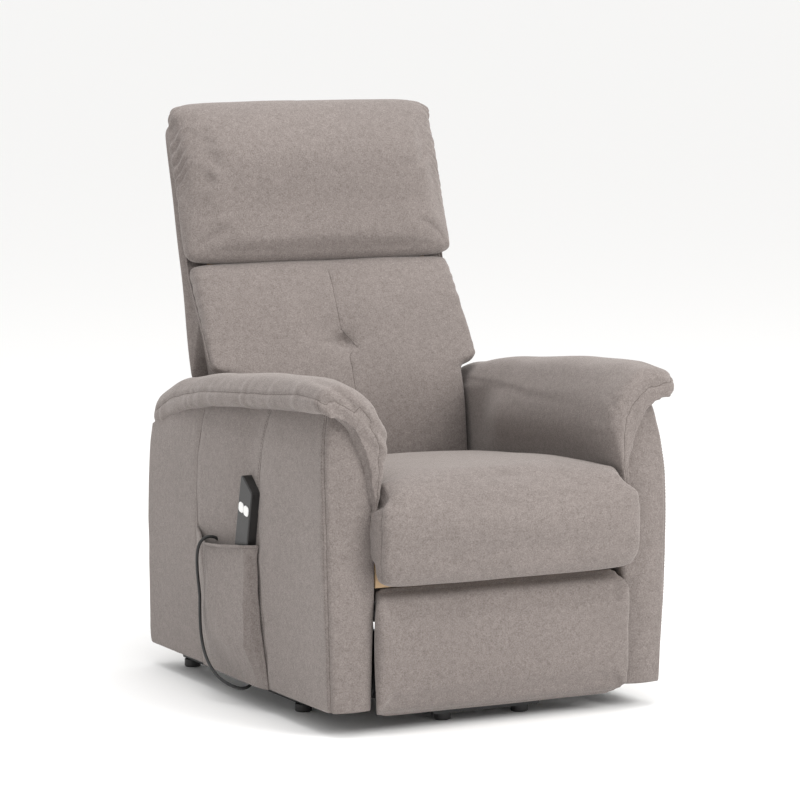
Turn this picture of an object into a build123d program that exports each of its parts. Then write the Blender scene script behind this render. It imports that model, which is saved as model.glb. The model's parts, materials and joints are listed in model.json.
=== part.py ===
"""Power lift recliner chair: steel lift base, tilting chassis, fold-out footrest,
reclining backrest, actuator and corded handset.  Millimetres, +Z up, front at -Y."""

from build123d import *
from math import atan2, cos, degrees, pi, radians, sin
import os

os.makedirs("parts", exist_ok=True)

# ---- driving dimensions -------------------------------------------------------------
HALF_WIDTH = 378.0          # arm pad lip
PANEL_X = 347.0             # outer face of the arm covers
INNER_X = 258.0             # inner face of the arms, half of the gap between them
HALF_DEPTH = 468.5          # seat nose to headrest crown, half of it
ARM_FRONT = -404.5
ARM_REAR = 395.5
ARM_BOTTOM = 42.0
CLOTH = 3.0                 # thickness of a padded cloth wall

TUBE = 24.0                 # square steel tube of the base
WALL = 2.0
FOOT_HEIGHT = 15.0
FOOT_RADIUS = 16.0
RAIL_X = 277.5              # side rails and their feet
RAIL_FRONT_Y = -145.5       # front cross tube
RAIL_REAR_Y = 355.5         # rear cross tube
OUTRIGGER_X = 81.5
OUTRIGGER_Y = -342.5        # front feet

PLATE = 6.0                 # steel plate of brackets and links
PIN_R = 6.0
FIT = 0.05                  # running clearance of a pin, radial
LIFT_A = (-168.5, 92.0)     # lift link pivot on the base, (y, z)
LIFT_B = (196.5, 118.0)     # lift link pivot on the chassis
GUIDE_C = (-235.7, 94.4)    # guide link pivot on the base
GUIDE_D = (20.0, 120.0)     # guide link pivot on the chassis, left open
OPEN_FIT = 3.4              # radial clearance at the open pivot
PLATE_X = 210.0             # inner face of base brackets and chassis side plates
LIFT_LINK_X = 200.0
GUIDE_LINK_X = 220.0

ACTUATOR_E = (330.0, 78.0)  # actuator pivot on the rear cross tube
LEVER = 95.0                # lever on the lift torque tube
LEVER_LEAN = 29.0

FOOT_P = (-228.0, 250.0)    # footrest drive link pivot on the chassis
FOOT_M = (-258.0, 85.0)     # carry link pivot on the drive link
FOOT_N = (-264.6, 48.7)     # guide link pivot on the drive link
FOOT_Q = (-364.0, 225.0)    # carry link pivot on the footrest
FOOT_R = (-370.6, 188.7)    # guide link pivot on the footrest, left open
DRIVE_X = 186.0
CARRY_X = 179.0
FOLLOW_X = 193.0
SLIM = 5.0                  # footrest link thickness
PIVOT_R = 4.0

HINGE_G = (205.0, 330.0)    # backrest recline axis
BACK_LEAN = 17.5
HANDSET_TILT = 12.5
HANDSET_X = -361.5
CORD_R = 3.0

SIDES = {"left": -1, "right": 1}


def save(part, name):
    """Label one finished piece and write it."""
    part.label = name
    export_step(part, f"parts/{name}.step")


def span(x_start, thickness, side):
    """Plane for a side-view sketch whose extrusion covers x_start outward on one side."""
    x = x_start if side > 0 else -x_start - thickness
    return Plane.YZ.offset(x)


def bar_link(plane, start, end, half_width, thickness, hole_start, hole_end):
    """Link with round ends: two discs joined by a straight bar, one hole in each end."""
    direction = Vector(end[0] - start[0], end[1] - start[1])
    angle = degrees(atan2(direction.Y, direction.X))
    middle = ((start[0] + end[0]) / 2, (start[1] + end[1]) / 2)
    with BuildPart() as bar:
        with BuildSketch(plane):
            with Locations(Location((middle[0], middle[1], 0), (0, 0, angle))):
                SlotOverall(direction.length + 2 * half_width, 2 * half_width)
            if hole_start:
                with Locations(start):
                    Circle(hole_start, mode=Mode.SUBTRACT)
            if hole_end:
                with Locations(end):
                    Circle(hole_end, mode=Mode.SUBTRACT)
        extrude(amount=thickness)
    return bar.part


def prism(plane, points, thickness):
    """Straight-sided outline extruded to a thickness."""
    with BuildPart() as body:
        with BuildSketch(plane):
            with BuildLine():
                Polyline(*points, close=True)
            make_face()
        extrude(amount=thickness)
    return body.part


# ---- steel lift base ----------------------------------------------------------------
TUBE_Z = FOOT_HEIGHT + TUBE / 2


def square_tube_y(x, y_start, y_end):
    """Square tube running front to back."""
    with BuildPart() as tube:
        with BuildSketch(Plane((x, y_start, TUBE_Z), x_dir=(1, 0, 0), z_dir=(0, 1, 0))):
            RectangleRounded(TUBE, TUBE, 4)
            RectangleRounded(TUBE - 2 * WALL, TUBE - 2 * WALL, 2, mode=Mode.SUBTRACT)
        extrude(amount=y_end - y_start)
    return tube.part


def square_tube_x(y, z, half_length, size=TUBE):
    """Square tube running side to side."""
    with BuildPart() as tube:
        with BuildSketch(Plane((-half_length, y, z), x_dir=(0, 1, 0), z_dir=(1, 0, 0))):
            RectangleRounded(size, size, 4)
            RectangleRounded(size - 2 * WALL, size - 2 * WALL, 2, mode=Mode.SUBTRACT)
        extrude(amount=2 * half_length)
    return tube.part


RAIL_END = RAIL_X - TUBE / 2
for name, side in SIDES.items():
    rail = square_tube_y(side * RAIL_X, RAIL_FRONT_Y - 20, RAIL_REAR_Y + 20)
    save(rail, f"base_{name}_rail")
save(square_tube_x(RAIL_FRONT_Y, TUBE_Z, RAIL_END), "base_front_tube")
save(square_tube_x(RAIL_REAR_Y, TUBE_Z, RAIL_END), "base_rear_tube")

with BuildPart() as outrigger:
    with Locations((0, OUTRIGGER_Y - 4, FOOT_HEIGHT + 8)):
        Box(224, 8, 16)
    fillet(outrigger.edges().filter_by(Axis.Y), 5)
    for side in SIDES.values():
        add(square_tube_y(side * OUTRIGGER_X, OUTRIGGER_Y, RAIL_FRONT_Y - TUBE / 2))
save(outrigger.part, "base_outrigger")

FEET = {
    "front": (OUTRIGGER_X, OUTRIGGER_Y + 14),
    "middle": (RAIL_X, RAIL_FRONT_Y),
    "rear": (RAIL_X, RAIL_REAR_Y),
}
for name, (foot_x, foot_y) in FEET.items():
    with BuildPart() as feet:
        with Locations((-foot_x, foot_y), (foot_x, foot_y)):
            Cylinder(FOOT_RADIUS, FOOT_HEIGHT, align=(Align.CENTER, Align.CENTER, Align.MIN))
        fillet(feet.edges().group_by(Axis.Z)[0], 3)
    save(feet.part, f"feet_{name}")

TUBE_TOP = FOOT_HEIGHT + TUBE
for name, side in SIDES.items():
    with BuildPart() as bracket:
        with BuildSketch(span(PLATE_X, PLATE, side)):
            with BuildLine():
                Polyline((-133, TUBE_TOP), (-146, 108), (-168, 114), (-238, 116), (-256, 104),
                         (-256, 84), (-205, 62), (-158, TUBE_TOP), close=True)
            make_face()
            with Locations(LIFT_A, GUIDE_C):
                Circle(PIN_R + FIT, mode=Mode.SUBTRACT)
        extrude(amount=PLATE)
    save(bracket.part, f"base_{name}_bracket")

with BuildPart() as motor_bracket:
    for ear_x in (-27, 21):
        with BuildSketch(Plane.YZ.offset(ear_x)):
            with BuildLine():
                Polyline((RAIL_REAR_Y - 12, TUBE_TOP), (RAIL_REAR_Y + 12, TUBE_TOP),
                         (345, 92), (316, 92), (316, 66), close=True)
            make_face()
            with Locations(ACTUATOR_E):
                Circle(PIN_R + FIT, mode=Mode.SUBTRACT)
        extrude(amount=PLATE)
    with Locations((0, RAIL_REAR_Y, TUBE_TOP + 2)):
        Box(60, TUBE - 2, 4)
save(motor_bracket.part, "base_motor_bracket")

# ---- lift links ---------------------------------------------------------------------
for name, side in SIDES.items():
    with BuildPart() as lift_link:
        add(bar_link(span(LIFT_LINK_X, PLATE, side), LIFT_A, LIFT_B, 15, PLATE, 0,
                     PIN_R + FIT))
        with BuildSketch(span(LIFT_LINK_X + PLATE, 12, side)):
            with Locations(LIFT_A):
                Circle(PIN_R)
        extrude(amount=12)
    save(lift_link.part, f"lift_link_{name}")

    guide_link = bar_link(span(GUIDE_LINK_X, PLATE, side), GUIDE_C, GUIDE_D, 12, PLATE,
                          0, PIN_R + OPEN_FIT)
    with BuildPart() as guide:
        add(guide_link)
        with BuildSketch(span(GUIDE_LINK_X - 14, 14, side)):
            with Locations(GUIDE_C):
                Circle(PIN_R)
        extrude(amount=14)
    save(guide.part, f"lift_guide_link_{name}")

LEVER_TIP = (LIFT_A[0] + LEVER * sin(radians(LEVER_LEAN)),
             LIFT_A[1] + LEVER * cos(radians(LEVER_LEAN)))
LEVER_PIN_R = 5.0
with BuildPart() as torque_tube:
    with BuildSketch(Plane.YZ.offset(-4)):
        with BuildLine():
            Polyline((LIFT_A[0] - 19, LIFT_A[1] + 4), (LEVER_TIP[0] - 12, LEVER_TIP[1] + 6),
                     (LEVER_TIP[0], LEVER_TIP[1] + 13), (LEVER_TIP[0] + 12, LEVER_TIP[1] + 2),
                     (LIFT_A[0] + 19, LIFT_A[1] - 4), close=True)
        make_face()
    extrude(amount=8)
    with BuildSketch(Plane.YZ.offset(-20)):
        with Locations(LEVER_TIP):
            Circle(LEVER_PIN_R)
    extrude(amount=40)
    with BuildSketch(Plane.YZ.offset(-LIFT_LINK_X)):
        with Locations(LIFT_A):
            Circle(15)
    extrude(amount=2 * LIFT_LINK_X)
    with BuildSketch(Plane.YZ.offset(-LIFT_LINK_X)):
        with Locations(LIFT_A):
            Circle(12)
    extrude(amount=2 * LIFT_LINK_X, mode=Mode.SUBTRACT)
save(torque_tube.part, "lift_torque_tube")

# ---- actuator -----------------------------------------------------------------------
ACT_DIR = Vector(0, LEVER_TIP[0] - ACTUATOR_E[0], LEVER_TIP[1] - ACTUATOR_E[1])
ACT_LENGTH = ACT_DIR.length
ACT_UNIT = ACT_DIR.normalized()


def along(distance):
    """Plane square to the actuator, at a distance from its rear pivot."""
    origin = Vector(0, ACTUATOR_E[0], ACTUATOR_E[1]) + ACT_UNIT * distance
    return Plane(origin, x_dir=(1, 0, 0), z_dir=ACT_UNIT)


with BuildPart() as gearbox:
    with BuildSketch(along(22)):
        RectangleRounded(56, 52, 8)
    extrude(amount=66)
    with BuildSketch(Plane.YZ.offset(-20.5)):
        with Locations(ACTUATOR_E):
            Circle(11)
    extrude(amount=41)
    with BuildSketch(along(6)):
        Rectangle(41, 16)
    extrude(amount=18)
    with BuildSketch(Plane.YZ.offset(-28)):
        with Locations(ACTUATOR_E):
            Circle(PIN_R)
    extrude(amount=56)
save(gearbox.part, "actuator_gearbox")

with BuildPart() as motor:
    with BuildSketch(along(50).rotated((-90, 0, 0)).offset(27)):
        Circle(24)
    extrude(amount=78)
    fillet(motor.edges().filter_by(GeomType.CIRCLE), 3)
save(motor.part, "actuator_motor")

ROD_EYE = 52.0              # fork length behind the lever pin
FORK_FRONT = 18.0
FORK_GAP = 10.0
PIN_ROOM = 4.6              # the pin drifts along the rod by up to 4 mm as the chair lifts
TUBE_END = ACT_LENGTH - 62
with BuildPart() as outer_tube:
    with BuildSketch(along(88)):
        Circle(20)
        Circle(10.5, mode=Mode.SUBTRACT)
    extrude(amount=TUBE_END - 88)
save(outer_tube.part, "actuator_tube")

with BuildPart() as rod:
    with BuildSketch(along(120)):
        Circle(10.4)
    extrude(amount=ACT_LENGTH - ROD_EYE - 120)
    with BuildSketch(along(ACT_LENGTH - ROD_EYE)):
        Rectangle(30, 42)
    extrude(amount=ROD_EYE + FORK_FRONT)
    with BuildSketch(along(ACT_LENGTH - ROD_EYE + 8)):
        Rectangle(FORK_GAP, 60)
    extrude(amount=ROD_EYE + 30, mode=Mode.SUBTRACT)
    with BuildSketch(Plane.YZ.offset(-30)):
        with Locations(Location((LEVER_TIP[0] - ACT_UNIT.Y * 1.4, LEVER_TIP[1] - ACT_UNIT.Z * 1.4, 0),
                                (0, 0, 77.9))):
            SlotOverall(29, 2 * LEVER_PIN_R + PIN_ROOM)
    extrude(amount=60, mode=Mode.SUBTRACT)
save(rod.part, "actuator_rod")

# ---- chassis mechanism and seat frame --------------------------------------------------
for name, side in SIDES.items():
    with BuildPart() as side_plate:
        with BuildSketch(span(PLATE_X, PLATE, side)):
            with BuildLine():
                Polyline((-246, 236), (-240, 266), (-100, 292), (184, 300), (192, 342),
                         (220, 342), (232, 300), (240, 240), (214, 104), (180, 104),
                         (150, 160), (60, 160), (34, 106), (6, 106), (-20, 160),
                         (-110, 205), (-215, 228), close=True)
            make_face()
            with Locations(HINGE_G):
                Circle(PIN_R, mode=Mode.SUBTRACT)
        extrude(amount=PLATE)
        with BuildSketch(span(LIFT_LINK_X - 4, 14, side)):
            with Locations(LIFT_B):
                Circle(PIN_R)
        extrude(amount=14)
        with BuildSketch(span(PLATE_X, 20, side)):
            with Locations(GUIDE_D):
                Circle(PIN_R)
        extrude(amount=20)
        with BuildSketch(span(DRIVE_X - 3, PLATE_X - DRIVE_X + 3, side)):
            with Locations(FOOT_P):
                Circle(PIVOT_R)
        extrude(amount=PLATE_X - DRIVE_X + 3)
    save(side_plate.part, f"chassis_{name}_plate")

CROSSBARS = {"chassis_front_tube": (-178, 240), "chassis_rear_tube": (225, 262)}
for name, (tube_y, tube_z) in CROSSBARS.items():
    save(square_tube_x(tube_y, tube_z, PLATE_X), name)

FRONT_RAIL_BOTTOM = 268.0
DECK_Z = 320.0
with BuildPart() as front_rail:
    with Locations((0, -388, (FRONT_RAIL_BOTTOM + DECK_Z) / 2)):
        Box(2 * INNER_X - 4, 22, DECK_Z - FRONT_RAIL_BOTTOM)
    fillet(front_rail.edges().filter_by(Axis.X), 4)
save(front_rail.part, "seat_front_rail")
with BuildPart() as rear_rail:
    with Locations((0, 165, (300.5 + DECK_Z) / 2)):
        Box(2 * INNER_X - 4, 22, DECK_Z - 300.5)
save(rear_rail.part, "seat_rear_rail")

SPRING_PITCH = 40.0
SPRING_X = (-180, -90, 0, 90, 180)
with BuildPart() as springs:
    for spring_x in SPRING_X:
        wave = [(spring_x, -377, 314), (spring_x, -369, 314)]
        for step in range(13):
            swing = 18 if step % 2 else -18
            wave.append((spring_x + swing, -358 + SPRING_PITCH * step, 314))
            wave.append((spring_x + swing, -340 + SPRING_PITCH * step, 314))
        wave.append((spring_x, 147, 314))
        wave.append((spring_x, 154, 314))
        with BuildLine() as spring_line:
            FilletPolyline(*wave, radius=7)
        with BuildSketch(Plane(spring_line.line @ 0, z_dir=spring_line.line % 0)):
            Circle(1.9)
        sweep()
save(springs.part, "seat_springs")

SEAT_HALF = 254.0
NOSE_BOTTOM = 275.0
SEAT_REAR = 156.0
with BuildPart() as seat:
    with BuildSketch(Plane.YZ.offset(-SEAT_HALF)):
        with BuildLine():
            Polyline((-400, DECK_Z + 2), (-402, NOSE_BOTTOM), (-440, NOSE_BOTTOM),
                     (-HALF_DEPTH, 320), (-HALF_DEPTH, 400), (-448, 448), (-405, 469),
                     (-250, 464), (-50, 447), (100, 431), (SEAT_REAR, 422),
                     (SEAT_REAR, DECK_Z + 2), close=True)
        make_face()
    extrude(amount=2 * SEAT_HALF)
    fillet(seat.edges().filter_by(Axis.X).group_by(Axis.Z)[-1], 12)
save(seat.part, "seat_cushion")

# ---- arms ---------------------------------------------------------------------------
ARM_TOP = [(372, 494), (153.5, 546), (-135.5, 571), (-364, 588)]
ARM_OUTLINE = [(ARM_REAR, ARM_BOTTOM), *ARM_TOP, (-396, 489), (-403, 328),
               (ARM_FRONT, ARM_BOTTOM)]
PAD_OUTLINE = [(383, 492), (388, 520), (366, 551), (200, 599), (-27, 630), (-300, 648),
               (-390, 640), (-412, 612), (-408, 590), (-364, 588.6), (-135.5, 571.6),
               (153.5, 546.6), (372, 494.6)]
ROLL_X = 241.0              # the pad rolls inward over the front of the seat
ROLL_OUTLINE = [(60, 482), (110, 520), (60, 560), (-300, 588), (-380, 582), (-396, 545),
                (-388, 490), (-250, 482)]
for name, side in SIDES.items():
    with BuildPart() as cover:
        with BuildSketch(span(INNER_X, PANEL_X - INNER_X, side)):
            with BuildLine():
                Polyline(*ARM_OUTLINE, close=True)
            make_face()
        extrude(amount=PANEL_X - INNER_X)
        with BuildSketch(Plane.XY.offset(ARM_BOTTOM)):
            with Locations((side * (INNER_X + PANEL_X) / 2, (ARM_FRONT + ARM_REAR) / 2 - 2)):
                Rectangle(PANEL_X - INNER_X - 2 * CLOTH, ARM_REAR - ARM_FRONT - 46)
        extrude(amount=430, mode=Mode.SUBTRACT)
    save(cover.part, f"arm_cover_{name}")

    with BuildPart() as pad:
        with BuildSketch(span(INNER_X, HALF_WIDTH - INNER_X, side)):
            with BuildLine():
                Polyline(*PAD_OUTLINE, close=True)
            make_face()
        extrude(amount=HALF_WIDTH - INNER_X)
        with BuildSketch(span(ROLL_X, INNER_X - ROLL_X, side)):
            with BuildLine():
                Polyline(*ROLL_OUTLINE, close=True)
            make_face()
        extrude(amount=INNER_X - ROLL_X)
        fillet(pad.edges().filter_by(Axis.Y, reverse=True).group_by(Axis.Z)[-1], 8)
    save(pad.part, f"arm_pad_{name}")

with BuildPart() as rear_cover:
    with Locations((0, 386, 172)):
        Box(2 * INNER_X - 2, 4, 236)
save(rear_cover.part, "rear_cover")

# ---- pocket -------------------------------------------------------------------------
POCKET_PLAN = [(-PANEL_X, -143), (-378, -112), (-378, 50), (-372, 80),
               (-PANEL_X, 150)]
POCKET_INSIDE = [(-PANEL_X - 0.1, -138.5), (-375.5, -110.5), (-375.5, 49),
                 (-370, 78), (-PANEL_X - 0.1, 143)]
POCKET_SIDE = [(150, 44), (146, 317), (79.5, 295), (-102.5, 311), (-143, 44)]
with BuildPart() as pocket:
    with BuildSketch(Plane.XY.offset(44)):
        with BuildLine():
            Polyline(*POCKET_PLAN, close=True)
        make_face()
    extrude(amount=280)
    with BuildSketch(Plane.XY.offset(47)):
        with BuildLine():
            Polyline(*POCKET_INSIDE, close=True)
        make_face()
    extrude(amount=280, mode=Mode.SUBTRACT)
    with BuildSketch(Plane.YZ.offset(-380)):
        with BuildLine():
            Polyline(*POCKET_SIDE, close=True)
        make_face()
    extrude(amount=40, mode=Mode.INTERSECT)
save(pocket.part, "side_pocket")

# ---- footrest -----------------------------------------------------------------------
FOOT_FRONT = -428.5
FOOT_BACK = -383.5
with BuildPart() as foot_board:
    with Locations((0, FOOT_BACK - 7.5, 142)):
        Box(500, 15, 214)
    fillet(foot_board.edges().filter_by(Axis.Y), 12)
save(foot_board.part, "footrest_board")
with BuildPart() as foot_pad:
    with Locations((0, (FOOT_FRONT + FOOT_BACK - 15) / 2, 142.5)):
        Box(508, FOOT_BACK - 15 - FOOT_FRONT, 223)
    fillet(foot_pad.edges().group_by(Axis.Y)[0], 12)
save(foot_pad.part, "footrest_cushion")

for name, side in SIDES.items():
    with BuildPart() as foot_bracket:
        with BuildSketch(span(DRIVE_X, SLIM, side)):
            with BuildLine():
                Polyline((FOOT_BACK, 170), (FOOT_BACK, 245), (-372, 245), (-354, 232),
                         (-354, 215), (-361, 184), (-368, 176), close=True)
            make_face()
            with Locations(FOOT_Q):
                Circle(PIVOT_R + FIT, mode=Mode.SUBTRACT)
        extrude(amount=SLIM)
        with BuildSketch(span(DRIVE_X + SLIM, 8, side)):
            with Locations(FOOT_R):
                Circle(PIVOT_R)
        extrude(amount=8)
    save(foot_bracket.part, f"footrest_bracket_{name}")

    with BuildPart() as drive:
        add(bar_link(span(DRIVE_X, SLIM, side), FOOT_P, FOOT_N, 11, SLIM, PIVOT_R + FIT,
                     PIVOT_R + FIT))
        with BuildSketch(span(DRIVE_X, SLIM, side)):
            with Locations(FOOT_M):
                Circle(PIVOT_R + FIT)
        extrude(amount=SLIM, mode=Mode.SUBTRACT)
    save(drive.part, f"footrest_drive_link_{name}")

    with BuildPart() as carry:
        add(bar_link(span(CARRY_X, SLIM, side), FOOT_M, FOOT_Q, 9, SLIM, 0, 0))
        with BuildSketch(span(CARRY_X + SLIM, 8, side)):
            with Locations(FOOT_M, FOOT_Q):
                Circle(PIVOT_R)
        extrude(amount=8)
    save(carry.part, f"footrest_carry_link_{name}")

    with BuildPart() as follow:
        add(bar_link(span(FOLLOW_X, SLIM, side), FOOT_N, FOOT_R, 9, SLIM, 0, PIVOT_R + 0.5))
        with BuildSketch(span(FOLLOW_X - 8, 8, side)):
            with Locations(FOOT_N):
                Circle(PIVOT_R)
        extrude(amount=8)
    save(follow.part, f"footrest_guide_link_{name}")

# ---- backrest -----------------------------------------------------------------------
BACK_UP = Vector(0, sin(radians(BACK_LEAN)), cos(radians(BACK_LEAN)))
BACK_OUT = Vector(0, -cos(radians(BACK_LEAN)), sin(radians(BACK_LEAN)))
BACK_PLANE = Plane((0, HINGE_G[0], HINGE_G[1]), x_dir=(1, 0, 0), z_dir=BACK_OUT)


def back_point(up, out):
    """Side-view (y, z) of a point on the leaning back: up it, and forward of it."""
    point = Vector(0, HINGE_G[0], HINGE_G[1]) + BACK_UP * up + BACK_OUT * out
    return (point.Y, point.Z)


def back_profile(outline, half_width):
    """Leaning side-view outline extruded to both sides."""
    points = [back_point(up, out) for up, out in outline]
    return prism(Plane.YZ.offset(-half_width), points, 2 * half_width)


WIDE = [(-250, 20), (250, 20), (250, 272), (288, 320), (284, 746), (-284, 746), (-288, 320),
        (-250, 272)]
with BuildPart() as lumbar:
    add(back_profile([(20, 0), (20, 38), (80, 60), (160, 82), (225, 90), (275, 78), (310, 64),
                      (400, 58), (450, 48), (488, 34), (488, 0)], 288))
    with BuildSketch(BACK_PLANE.offset(-20)):
        with BuildLine():
            Polyline(*WIDE, close=True)
        make_face()
    extrude(amount=150, mode=Mode.INTERSECT)
save(lumbar.part, "lumbar_cushion")

headrest = back_profile([(492, 0), (492, 36), (530, 52), (600, 66), (690, 79), (750, 72),
                         (800, 46), (822, 12), (818, -10), (800, -24), (762, -36), (762, 0)],
                        289)
save(headrest, "headrest_cushion")

with BuildPart() as back_cover:
    with BuildSketch(BACK_PLANE.offset(-40)):
        with BuildLine():
            Polyline(*WIDE, close=True)
        make_face()
    extrude(amount=CLOTH)
save(back_cover.part, "back_cover")

POST_X = 228.0
for name, side in SIDES.items():
    with BuildPart() as post:
        with BuildSketch(BACK_PLANE.offset(-36)):
            with Locations((side * POST_X, 392)):
                Rectangle(24, 736)
        extrude(amount=35)
    save(post.part, f"back_post_{name}")

    with BuildPart() as hinge:
        with BuildSketch(span(PLATE_X + PLATE + 0.5, 5, side)):
            with BuildLine():
                Polyline(back_point(-14, -8), back_point(-8, 14), back_point(8, 14),
                         back_point(19, -1), back_point(19, -36), back_point(10, -36),
                         back_point(-10, -18), close=True)
            make_face()
        extrude(amount=5)
        with BuildSketch(span(PLATE_X - 2, PLATE + 3, side)):
            with Locations(HINGE_G):
                Circle(PIN_R - FIT)
        extrude(amount=PLATE + 3)
    save(hinge.part, f"back_hinge_{name}")

BACK_RAILS = {"back_bottom_rail": 40, "back_top_rail": 748}
for name, height in BACK_RAILS.items():
    with BuildPart() as rail:
        with BuildSketch(BACK_PLANE.offset(-36)):
            with Locations((0, height)):
                Rectangle(2 * (POST_X - 12), 24)
        extrude(amount=35)
    save(rail.part, name)

# ---- handset ------------------------------------------------------------------------
TILT = radians(HANDSET_TILT)
HAND_UP = Vector(0, -sin(TILT), cos(TILT))
HAND_SIDE = Vector(0, cos(TILT), sin(TILT))
HAND_ORIGIN = Vector(HANDSET_X, -60.8, 236.8)
HAND_LENGTH = 209.0
HAND_SHORT = 187.0          # front edge of the slanted top
HAND_HALF = 26.0
BUTTON_UP = 147.0
BUTTON_SIZE = (20.0, 19.0, 7.0)
BUTTON_SPACING = 10.8
HAND_FACE = Plane(HAND_ORIGIN, x_dir=(0, -cos(TILT), -sin(TILT)), z_dir=(-1, 0, 0))
with BuildPart() as case:
    with BuildSketch(HAND_FACE.offset(-12)) as case_outline:
        with BuildLine():
            Polyline((-HAND_HALF, 0), (HAND_HALF, 0), (HAND_HALF, HAND_SHORT),
                     (-HAND_HALF, HAND_LENGTH), close=True)
        make_face()
        fillet(case_outline.vertices(), 6)
    extrude(amount=24)
    fillet(case.edges().filter_by(Plane.YZ).group_by(Axis.X)[0], 2.5)
    for button_x in (-BUTTON_SPACING, BUTTON_SPACING):
        with BuildSketch(HAND_FACE.offset(8)):
            with Locations((button_x, BUTTON_UP)):
                RectangleRounded(BUTTON_SIZE[0] + 0.8, BUTTON_SIZE[1] + 0.8, BUTTON_SIZE[2])
        extrude(amount=6, mode=Mode.SUBTRACT)
save(case.part, "handset_case")
for name, button_x in {"up": -BUTTON_SPACING, "down": BUTTON_SPACING}.items():
    with BuildPart() as button:
        with BuildSketch(HAND_FACE.offset(9.6)):
            with Locations((button_x, BUTTON_UP)):
                RectangleRounded(*BUTTON_SIZE)
        extrude(amount=3.8)
        fillet(button.edges().group_by(Axis.X)[0], 1)
    save(button.part, f"handset_button_{name}")

RELIEF_LENGTH = 20.0
with BuildPart() as relief:
    with BuildSketch(Plane(HAND_ORIGIN, z_dir=-HAND_UP)):
        Circle(6.5)
    with BuildSketch(Plane(HAND_ORIGIN - HAND_UP * RELIEF_LENGTH, z_dir=-HAND_UP)):
        Circle(4.2)
    loft()
save(relief.part, "handset_strain_relief")

# ---- handset cord -------------------------------------------------------------------
CORD_START = HAND_ORIGIN - HAND_UP * RELIEF_LENGTH
GLAND_BOTTOM = Vector(-318, -27, 74)
CORD_ROUTE = [
    CORD_START,
    CORD_START - HAND_UP * 34,
    Vector(-361, -38, 150),
    Vector(-360, -6, 130),
    Vector(-358, 28, 144),
    Vector(-356, 46, 178),
    Vector(-353, 52, 214),
    Vector(-351, 54, 244),
    Vector(-352, 53, 271),
    Vector(-352, 55, 294),
    Vector(-360, 57, 305),
    Vector(-373, 60, 309),
    Vector(-386, 63, 305),
    Vector(-394, 66, 293),
    Vector(-396, 70, 273),
    Vector(-394, 74, 248),
    Vector(-389, 80, 221),
    Vector(-384, 84, 194),
    Vector(-382, 89, 166),
    Vector(-382, 88, 138),
    Vector(-384, 78, 110),
    Vector(-387, 58, 86),
    Vector(-389, 30, 66),
    Vector(-386, 0, 49),
    Vector(-373, -25, 36),
    Vector(-349, -38, 28),
    Vector(-327, -36, 40),
    GLAND_BOTTOM,
]
radii = []
for before, corner, after in zip(CORD_ROUTE, CORD_ROUTE[1:], CORD_ROUTE[2:]):
    run_in = corner - before
    run_out = after - corner
    half_turn = radians(run_in.get_angle(run_out) / 2)
    shorter = min(run_in.length, run_out.length)
    radii.append(0.45 * shorter / (sin(half_turn) / cos(half_turn)))
print("cord radii", [round(radius) for radius in radii])
with BuildPart() as cord:
    with BuildLine() as cord_line:
        FilletPolyline(*CORD_ROUTE, radius=radii)
    with BuildSketch(Plane(cord_line.line @ 0, z_dir=cord_line.line % 0)):
        Circle(CORD_R)
    sweep()
cord_length = cord_line.wire().length
print("cord length", cord_length)
print("cord volume ratio", cord.part.volume / (pi * CORD_R**2 * cord_length))
save(cord.part, "handset_cord")

with BuildPart() as gland:
    with BuildSketch(Plane(GLAND_BOTTOM, z_dir=cord_line.line % 1)):
        Circle(6)
    extrude(amount=20)
save(gland.part, "cord_gland")

with BuildPart() as control_box:
    with Locations((120, 90, 282)):
        Box(90, 120, 30)
    fillet(control_box.edges().filter_by(Axis.Z), 6)
    with Locations((120, 150, 282)):
        Cylinder(5, 12, rotation=(90, 0, 0), mode=Mode.SUBTRACT)
save(control_box.part, "control_box")
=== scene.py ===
"""Power lift recliner in brushed taupe fabric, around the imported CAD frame. Metres."""
import json
from math import cos, exp, pi, radians, sin, sqrt

import bmesh
import bpy
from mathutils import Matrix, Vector, noise
from mathutils.bvhtree import BVHTree
from mathutils.kdtree import KDTree


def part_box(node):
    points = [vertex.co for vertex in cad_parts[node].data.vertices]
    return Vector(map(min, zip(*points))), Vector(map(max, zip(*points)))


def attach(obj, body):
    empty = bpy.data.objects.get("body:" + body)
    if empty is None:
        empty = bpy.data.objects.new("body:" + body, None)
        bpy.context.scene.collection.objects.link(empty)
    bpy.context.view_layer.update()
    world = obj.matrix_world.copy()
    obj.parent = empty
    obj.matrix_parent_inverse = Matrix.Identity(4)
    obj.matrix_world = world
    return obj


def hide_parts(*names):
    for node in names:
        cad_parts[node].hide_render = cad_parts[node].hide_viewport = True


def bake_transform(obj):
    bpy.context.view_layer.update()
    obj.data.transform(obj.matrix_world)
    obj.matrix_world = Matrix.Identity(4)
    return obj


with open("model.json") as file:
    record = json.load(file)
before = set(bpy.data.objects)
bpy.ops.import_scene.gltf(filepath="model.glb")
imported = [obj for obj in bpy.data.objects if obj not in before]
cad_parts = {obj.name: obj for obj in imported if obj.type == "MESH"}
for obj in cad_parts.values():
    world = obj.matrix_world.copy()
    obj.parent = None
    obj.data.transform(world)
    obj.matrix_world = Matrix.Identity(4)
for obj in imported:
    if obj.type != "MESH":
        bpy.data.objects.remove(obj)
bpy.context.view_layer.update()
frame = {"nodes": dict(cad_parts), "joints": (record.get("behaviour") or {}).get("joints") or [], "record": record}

# ---- sizes read from the frame --------------------------------------------------------
SEAT_LOW, SEAT_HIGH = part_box("seat_cushion")
ARM_LOW, ARM_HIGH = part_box("arm_cover_right")
PAD_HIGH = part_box("arm_pad_right")[1]
FOOT_LOW, FOOT_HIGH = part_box("footrest_cushion")
BOARD_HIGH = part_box("footrest_board")[1]
RECLINE = next(j for j in frame["joints"] if j["name"] == "recline")
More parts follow.
